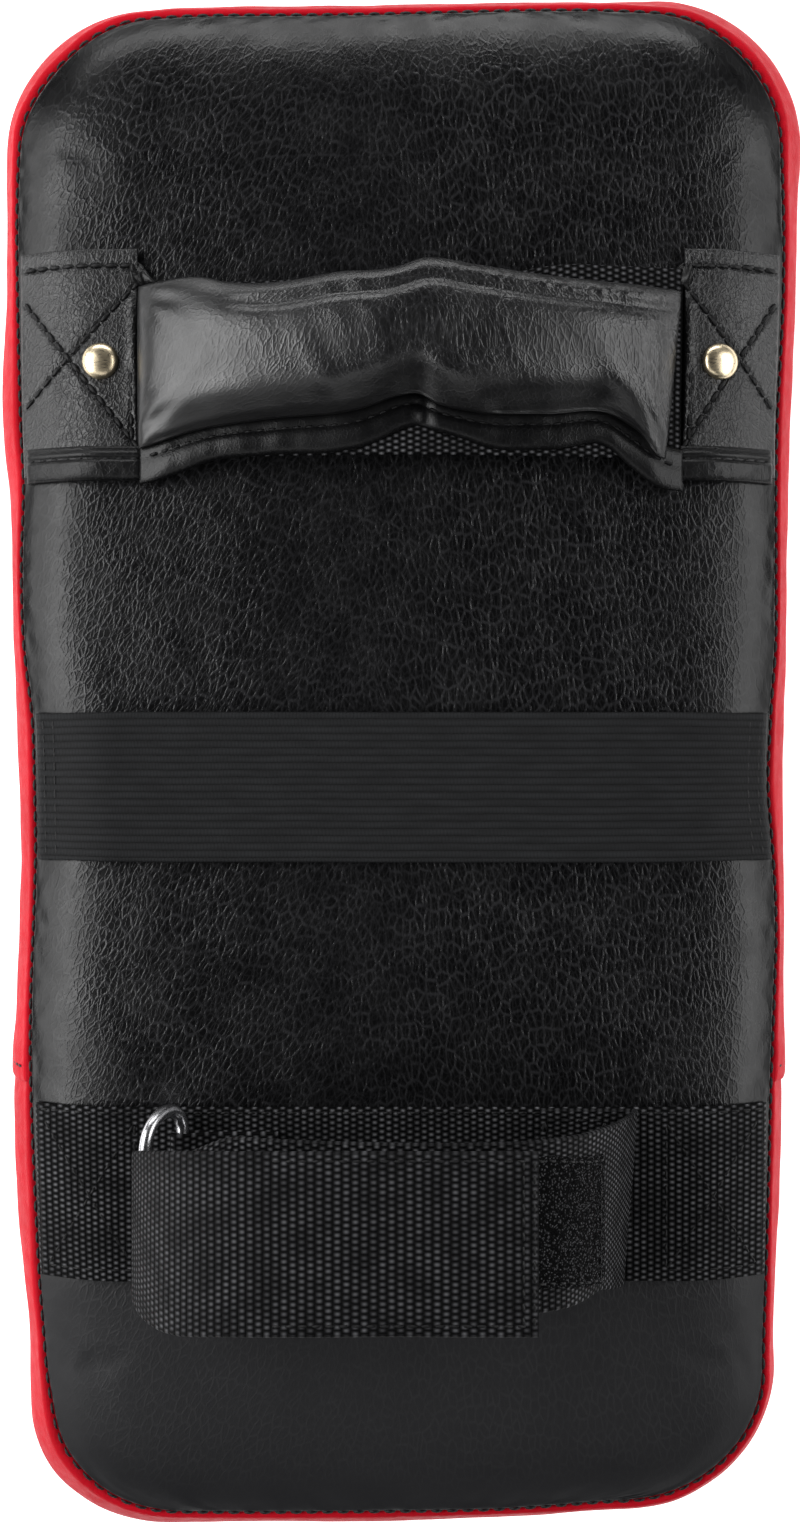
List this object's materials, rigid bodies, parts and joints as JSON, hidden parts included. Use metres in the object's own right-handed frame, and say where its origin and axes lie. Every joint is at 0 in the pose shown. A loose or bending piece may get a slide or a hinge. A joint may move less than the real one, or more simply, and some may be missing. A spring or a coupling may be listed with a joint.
{
  "type": "thai pad",
  "caption": "Padded martial arts kick pad with a riveted leather grip, an elastic band and a hook-and-loop arm strap that runs through an oval ring on its back.",
  "frame": {"origin": "bottom centre of the object's box, in the middle of the striking face's resting plane", "axes": "+X across the pad to the side where the arm strap is rooted, +Y along the pad towards the grip, +Z out of the strap side; the pad lies on its striking face"},
  "size_m": [0.21, 0.401, 0.1338],
  "materials": {
    "red_leather": "semi-matte coated",
    "black_leather": "grained, low sheen",
    "foam": "matt closed cell foam",
    "webbing": "woven nylon",
    "elastic": "ribbed woven elastic",
    "pile": "hook and loop pile",
    "thread": "bonded nylon thread",
    "brass": "polished",
    "steel": "nickel plated"
  },
  "bodies": {
    "pad": {"striking_panel": "red_leather", "gusset_upper": "red_leather", "gusset_lower": "red_leather", "back_panel": "black_leather", "foam_strike_layer": "foam", "foam_core_layer": "foam", "foam_back_layer": "foam", "front_seam_thread": "thread", "back_seam_thread": "thread", "gusset_joint_stitching": "thread", "handle_patch_left": "black_leather", "handle_patch_right": "black_leather", "patch_bindings": "black_leather", "patch_stitching": "thread", "rivet_caps": "brass", "rivet_posts": "brass", "rivet_washers": "brass", "elastic_end_left": "elastic", "elastic_end_right": "elastic", "elastic_stitching": "thread", "base_webbing": "webbing", "base_stitching": "thread", "ring_keeper": "webbing", "keeper_stitching": "thread", "arm_strap": "webbing", "root_stitching": "thread", "loop_patch": "pile", "loop_patch_stitching": "thread"},
    "grip": {"grip_cover": "black_leather", "grip_core": "foam", "grip_webbing": "webbing", "grip_binding": "black_leather", "grip_stitching": "thread"},
    "elastic": {"elastic_band": "elastic"},
    "ring": {"oval_ring": "steel"},
    "tail": {"strap_tail": "webbing", "hook_patch": "pile", "tail_stitching": "thread"}
  },
  "joints": [
    {"name": "grip_lift", "type": "slide", "parent": "pad", "child": "grip", "axis": [0, 0, 1], "range_m": [0, 0.012], "stiffness_N_per_m": 500},
    {"name": "elastic_stretch", "type": "slide", "parent": "pad", "child": "elastic", "axis": [0, 0, 1], "range_m": [0, 0.04], "stiffness_N_per_m": 300},
    {"name": "ring_swing", "type": "hinge", "parent": "pad", "child": "ring", "pos_m": [-0.0545, -0.1105, 0.08108], "axis": [0, -1, 0], "range_deg": [0, 30]},
    {"name": "tail_peel", "type": "hinge", "parent": "ring", "child": "tail", "pos_m": [-0.06234, -0.1105, 0.09316], "axis": [0, -1, 0], "range_deg": [0, 105]}
  ]
}
